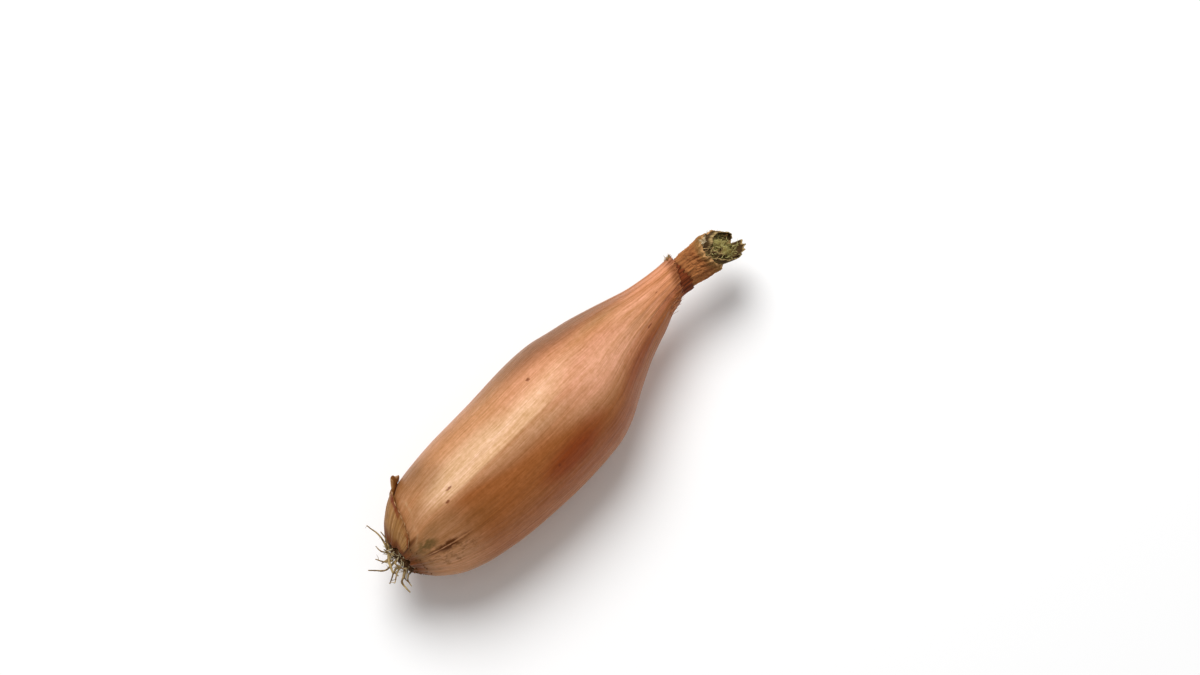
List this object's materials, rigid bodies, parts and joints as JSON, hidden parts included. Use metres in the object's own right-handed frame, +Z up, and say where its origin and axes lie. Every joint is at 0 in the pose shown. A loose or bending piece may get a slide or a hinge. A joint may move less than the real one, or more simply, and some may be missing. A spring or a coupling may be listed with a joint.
{
  "type": "shallot",
  "caption": "Whole banana shallot lying on its side: a long tapered bulb in papery skin, with dry roots at one end and a dry cut neck at the other.",
  "frame": {"origin": "middle of the small flat under the belly that the shallot rests on", "axes": "+X along the bulb from the roots to the neck, +Z up"},
  "size_m": [0.1395, 0.0379, 0.038],
  "materials": {
    "outer_skin": "thin, tight, coppery papery skin with a soft silky shine and fine lengthwise veins",
    "corky_plate": "matt, dark brown and corky",
    "loose_skin": "dry golden-olive papery skin, satin",
    "inner_skin": "thin dark red papery skin, satin",
    "dry_sheath": "matt brown, wrinkled and fibrous",
    "leaf_stub": "matt grey-green dry fibres",
    "dry_leaf": "matt, straw to olive, fibrous",
    "dry_root": "matt, dry and wiry"
  },
  "bodies": {
    "root": {"bulb": "outer_skin", "basal_plate": "corky_plate", "skin_flap": "loose_skin", "inner_skin": "inner_skin", "neck_sheath": "dry_sheath", "leaf_stub": "leaf_stub", "dry_leaf_01": "dry_leaf", "dry_leaf_02": "dry_leaf", "dry_leaf_03": "dry_leaf", "dry_leaf_04": "dry_leaf", "root_01": "dry_root", "root_02": "dry_root", "root_03": "dry_root", "root_04": "dry_root", "root_05": "dry_root", "root_06": "dry_root", "root_07": "dry_root", "root_08": "dry_root", "root_09": "dry_root", "root_10": "dry_root", "root_11": "dry_root", "root_12": "dry_root", "root_13": "dry_root", "root_14": "dry_root", "root_15": "dry_root", "root_16": "dry_root"}
  },
  "joints": []
}
